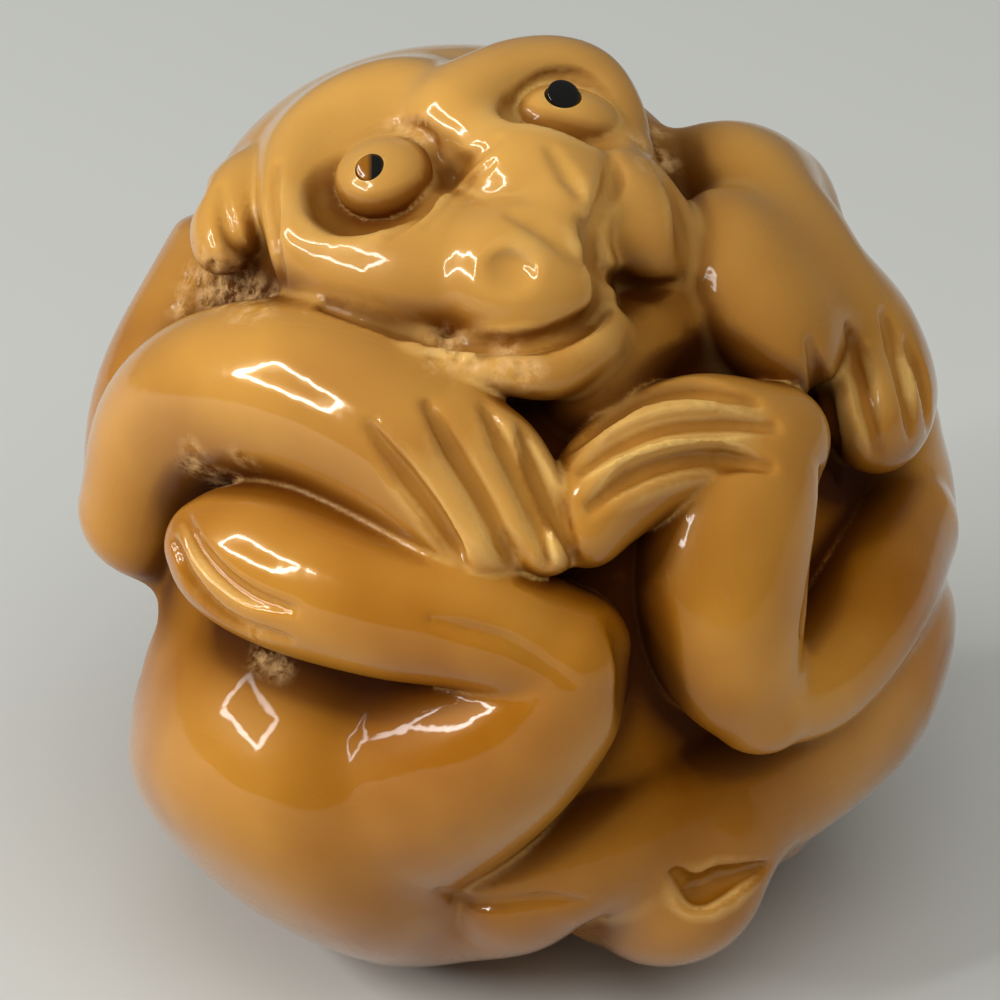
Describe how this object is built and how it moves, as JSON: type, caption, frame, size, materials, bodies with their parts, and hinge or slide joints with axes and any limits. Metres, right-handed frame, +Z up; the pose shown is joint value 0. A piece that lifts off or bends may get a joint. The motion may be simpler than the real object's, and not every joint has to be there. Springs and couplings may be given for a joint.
{
  "type": "netsuke",
  "caption": "Ball-shaped netsuke of a curled-up monkey carved from one tagua nut, with dark inlaid pupils and a cord channel behind.",
  "frame": {"origin": "middle of the underside, on the small flat the carving rests on", "axes": "+Z up as it rests, +X to the viewer's right across the figure, +Y towards the figure's back; the face looks up and towards -Y"},
  "size_m": [0.0392, 0.039, 0.0407],
  "materials": {
    "ivory": "amber tagua nut, worn smooth and polished to a clear gloss",
    "horn": "polished black horn"
  },
  "bodies": {
    "root": {"monkey": "ivory", "pupil_right": "horn", "pupil_left": "horn"}
  },
  "joints": []
}
